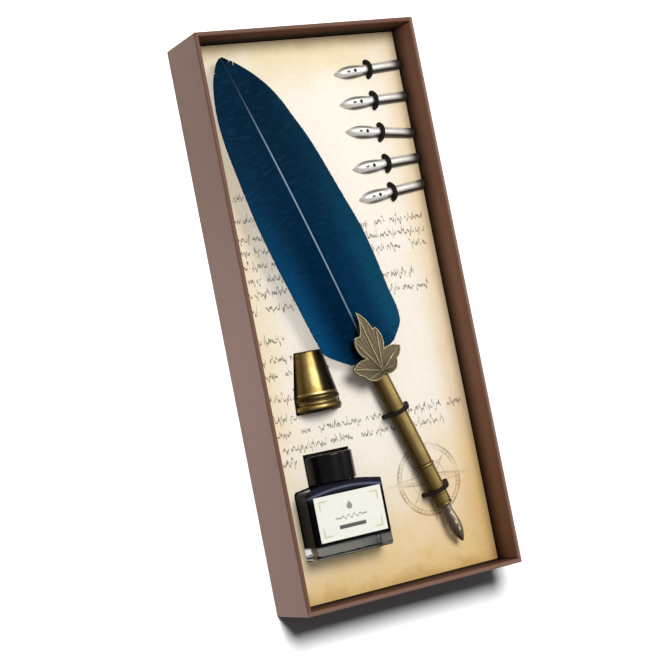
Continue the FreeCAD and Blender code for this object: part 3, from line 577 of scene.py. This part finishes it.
# Each spare nib's place down the row in pitches, and its turn in degrees
SPARE_NIBS = ((0.0, 3.6), (1.01, 1.9), (1.9, -6.4), (3.16, 3.1), (4.17, 5.9))
shader, tone, across, along = metal(("pen_nib",), "nib_steel", PEN, PEN_ANGLE, purity=0.7, rough=0.28,
                                    bright="A0937F", dull="82786A", dark="4A3F3C")
# Painted shade: the nib's left side is painted darker.
((1 - across.ease(-1.6, 0.8)) * 0.9).paint(tone, tint("5C4E4B")).feed(shader.inputs["Base Color"])
for number, (share, degrees) in enumerate(SPARE_NIBS, 1):
    turn = math.radians(degrees)
    tip = (NIB_END - NIB_LENGTH * math.cos(turn), NIB_ROW - NIB_PITCH * share, CARD_TOP + NIB_LIFT)
    shader, tone, across, along = metal(
        ("spare_nib_%d" % number,), "nib_steel_%d" % number, tip, turn - math.pi / 2,
        purity=0.5, rough=0.2, bright="FBF8F3", dull="E4DDD6", dark="463A30")
    shank = along.ease(13.0, 20.0)
    # Painted shade along each nib's upper and lower edges and at the open far end of its shank.
    upper, lower = (across + shank * 0.6).ease(-1.2, -2.3) * 0.8, (across + shank * 1.3).ease(1.8, 3.0)
    painted_shade = lower.math("MAXIMUM", upper).math("MAXIMUM", along.ease(NIB_LENGTH - 8.0, NIB_LENGTH - 1.5))
    (painted_shade * 0.95).paint(tone, tint("2C221A")).feed(shader.inputs["Base Color"])


# Elastic cords: round elastic, nearly black, over the pen and over each spare nib. Each goes down through
# two holes in the card, is knotted under it, and has a stop bead at its far hole.
CORD, KNOT, KNOT_DROP, BEAD = 1.1, 2.2, 3.85, 1.45
NIB_LOOP, NIB_TIE = 3.97, 20.1
PEN_LOOP, PEN_LIFT, PEN_HOLE = 5.82, 5.1, 8.9
PEN_TIES = (("lower", 30.2), ("upper", 75.8))


def tie(name, x, y, turn, points, far):
    """A cord through control points (across, up from the card), in the upright plane through a place."""
    def spot(across, up):
        return Vector((x + across * math.cos(turn), y + across * math.sin(turn), CARD_TOP + up)) / 1000

    bpy.ops.object.select_all(action="DESELECT")
    bpy.ops.curve.primitive_nurbs_path_add()
    cord = bpy.context.object
    cord.name = name
    cord.data.splines.clear()
    line = cord.data.splines.new("NURBS")
    line.points.add(len(points) - 1)
    for point, place in zip(line.points, points):
        point.co = (*spot(*place), 1.0)
    line.order_u, line.use_endpoint_u, line.resolution_u = 3, True, 10
    cord.data.bevel_depth, cord.data.bevel_resolution, cord.data.use_fill_caps = CORD / 1000, 3, True
    bpy.ops.object.convert(target="MESH")
    knots = [(points[0], KNOT), (points[-1], KNOT), ((far, BEAD / 2), BEAD)]
    for place, radius in knots:
        bpy.ops.mesh.primitive_uv_sphere_add(segments=20, ring_count=12, radius=radius / 1000,
                                             location=spot(*place))
        bpy.context.object.select_set(True)
        cord.select_set(True)
        bpy.context.view_layer.objects.active = cord
        bpy.ops.object.join()
    bpy.ops.object.shade_smooth()
    return cord


def loop_points(loop, axis):
    """A cord's way up, over a round piece and down: the corners of the octagon round its loop."""
    k = loop * math.tan(math.pi / 8)
    return [(-loop, -KNOT_DROP), (-loop, axis - k), (-loop, axis + k), (-k, axis + loop), (k, axis + loop),
            (loop, axis + k), (loop, axis - k), (loop, -KNOT_DROP)]


cords = []
for number, (share, degrees) in enumerate(SPARE_NIBS, 1):
    turn = math.radians(degrees)
    x = NIB_END - (NIB_LENGTH - NIB_TIE) * math.cos(turn)
    y = NIB_ROW - NIB_PITCH * share + NIB_TIE * math.sin(turn)
    cord = tie("nib_cord_%d" % number, x, y, turn - math.pi / 2, loop_points(NIB_LOOP, NIB_LIFT), -NIB_LOOP)
    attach(cord, "insert")
    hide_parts("nib_tie_%d" % number)
    cords.append(cord)
for name, along in PEN_TIES:
    slant = [(4.7, 8.63), (PEN_HOLE, 0.95), (PEN_HOLE, -KNOT_DROP)]
    x, y, z = pen_place(0.0, along, 0.0) * 1000
    cord = tie("pen_cord_" + name, x, y, PEN_ANGLE, loop_points(PEN_LOOP, PEN_LIFT)[:5] + slant, PEN_HOLE)
    x / 1000
    y / 1000
    x / 1000
    y / 1000
    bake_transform(cord)
    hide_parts("pen_tie_" + name)
    cords.append(cord)
shader, mm = coat(cords, "elastic_cord", Roughness=0.7, Specular_IOR_Level=0.2)
braid = mm.noise(0.5, 3.0, 0.6)
braid.paint(tint("0B0806"), tint("1D1612")).feed(shader.inputs["Base Color"])
emboss(shader, braid, 0.0003)


# Pen stand: a hollow brass cone with two beads at its foot, cast and turned, in the same antique finish.
# It lies on its side in a cut-out of the card. Painted shade darkens its right side, its left edge, both
# of its rims and bands round its foot, and painted highlight lines run round the foot.
STAND_X, STAND_AXIS, STAND_Y, STAND_HEIGHT = -26.6, 15.0, -48.4, 30.4
STAND_FOOT, STAND_TAPER = 12.6, 0.164
HIGHLIGHT_LINES, DARK_BAND, STEP = (4.8, 9.0), 6.9, 4.0
shader, tone, across, along = metal(
    ("pen_stand",), "stand_brass", (STAND_X, STAND_Y, STAND_AXIS), 0.0,
    purity=1.0, rough=0.3, bright="B09A62", dull="8A723E", dark="140D06")
# Painted highlight: bright lines round the foot.
ridge = sum(drawn(abs(along - place), 0.25, 0.6) for place in HIGHLIGHT_LINES)
tone = (ridge * 0.6).paint(tone, tint("D2BE88"))
# Painted shade: dark bands round the foot and at the foot's rim.
shaded_bands = drawn(abs(along - DARK_BAND), 0.8, 1.5) * 0.8 + drawn(abs(along - STEP), 0.1, 0.4) * 0.7
shaded_bands = shaded_bands + drawn(along, 0.7, 1.1)
# Painted shade: the right side and the far left edge are darker, and the narrow top rim is dark.
side = across / (STAND_FOOT - along * STAND_TAPER)
shade = side.ease(-0.35, -0.02).math("MAXIMUM", side.ease(-0.7, -0.98) * 0.65)
painted_shade = shaded_bands.math("MAXIMUM", shade * (0.35 + along.ease(8.8, 9.8) * 0.65))
painted_shade = painted_shade.math("MAXIMUM", (along - STAND_HEIGHT).ease(-0.7, -0.2)).math("MINIMUM", 1.0)
(painted_shade * 0.95).paint(tone, tint("100A04")).feed(shader.inputs["Base Color"])


# Ink bottle: a heavy square glass bottle with a thick clear base, lying on its back, full of blue-black
# ink to its shoulder. The ink turns its walls black, and a blue reflection is painted along the domed
# shoulder.
BOTTLE_X, SHOULDER, SHOULDER_BEND, INK_START = -27.4, -87.3, 0.0055, -115.0
shader, mm = coat(("bottle_glass",), "bottle_glass", Roughness=0.03, IOR=1.5, Transmission_Weight=1.0)
shader.inputs["Base Color"].default_value = (0.93, 0.96, 0.95, 1)
x, y, z = mm.split()
dome = y + (x - BOTTLE_X) * (x - BOTTLE_X) * SHOULDER_BEND
# The ink makes the glass black. A bluish painted reflection grows towards the shoulder, with a pale painted
# highlight line along it.
ink_black_and_reflection = dome.ease(SHOULDER - 3.7, SHOULDER - 0.7).paint(tint("050607"), tint("1D2029"))
ink_black_and_reflection = (drawn(abs(dome - SHOULDER), 0.1, 0.8) * z.ease(20.0, 27.0) * 0.9).paint(ink_black_and_reflection, tint("5C637A"))
filled = ink_black_and_reflection.node("BsdfPrincipled", {},
                    {"Base Color": ink_black_and_reflection, "Roughness": 0.08, "Specular IOR Level": 0.06})
inked = y.ease(INK_START, INK_START + 1.5)
inked.node("MixShader", {}, {0: inked, 1: Wire(shader.outputs[0]), 2: filled}).feed(
    mm.tree.nodes["Material Output"].inputs["Surface"])
emboss(shader, mm.noise(9.0, 2.0), 0.0002)
shader, mm = coat(("bottle_ink",), "ink", Roughness=0.15)
mm.noise(12.0, 2.0).paint(tint("04060C"), tint("0A1020")).feed(shader.inputs["Base Color"])


# Label: white paper glued to the bottle's front, printed with pale green corners, an ink drop, a flourish
# and a dark bar, all generic.
LABEL_Y, LABEL_HALF_X, LABEL_HALF_Y, LABEL_FRAME = -101.2, 19.1, 11.2, 2.6
DROP_UP, FLOURISH_DOWN, FLOURISH_HALF = 4.2, 0.9, 9.0
BAR_DOWN, BAR_HALF_X, BAR_HALF_Y = 5.4, 7.6, 0.95
shader, mm = coat(("bottle_label",), "label_paper", Roughness=0.7)
x, y = mm.split()[:2]
lx, ly = abs(x - BOTTLE_X), y - LABEL_Y
inset = (LABEL_HALF_X - lx).math("MINIMUM", LABEL_HALF_Y - abs(ly))
paper = mm.noise(5.0, 3.0).paint(tint("ECEADC"), tint("F6F4EA"))
corner_x, corner_y = LABEL_HALF_X - LABEL_FRAME - lx, LABEL_HALF_Y - LABEL_FRAME - abs(ly)
corner = drawn(abs(corner_x.math("MINIMUM", corner_y)), 0.3, 0.4)
corner = corner * (1 - (corner_x + corner_y).ease(2.5, 6.0)) * (inset > 2.0)
paper = (corner * 0.7).paint(paper, tint("BFC79A"))
drop_y = ly - DROP_UP
drop = (lx * lx + drop_y * drop_y).math("SQRT")
drop = 1 - (drop + drop_y.ease(0.0, 3.4) * lx * 1.4 - drop_y.ease(0.0, 3.0)).ease(1.5, 1.8)
wave = sine(x * 1.9) * (1 - lx.ease(2.0, FLOURISH_HALF)) * 0.9
flourish = drawn(abs(ly + FLOURISH_DOWN - wave), 0.2, 0.25) * (lx < FLOURISH_HALF)
paper = ((drop + flourish).math("MINIMUM", 1.0) * 0.75).paint(paper, tint("55585E"))
paper = ((lx < BAR_HALF_X) * (abs(ly + BAR_DOWN) < BAR_HALF_Y) * 0.92).paint(paper, tint("26282B"))
paper.feed(shader.inputs["Base Color"])


# Cap: a moulded black plastic screw cap for the bottle's neck. A card liner is pressed into it, which seals
# the bottle.
shader, mm = coat(("bottle_cap",), "cap_plastic", Roughness=0.2, Specular_IOR_Level=0.22)
fine = mm.noise(0.8, 3.0)
fine.paint(tint("030303"), tint("070708")).feed(shader.inputs["Base Color"])
emboss(shader, fine, 0.00003)
shader, mm = coat(("cap_liner",), "liner_card", Roughness=0.8)
mm.noise(1.0, 4.0).paint(tint("D8D2C4"), tint("EFEBE0")).feed(shader.inputs["Base Color"])
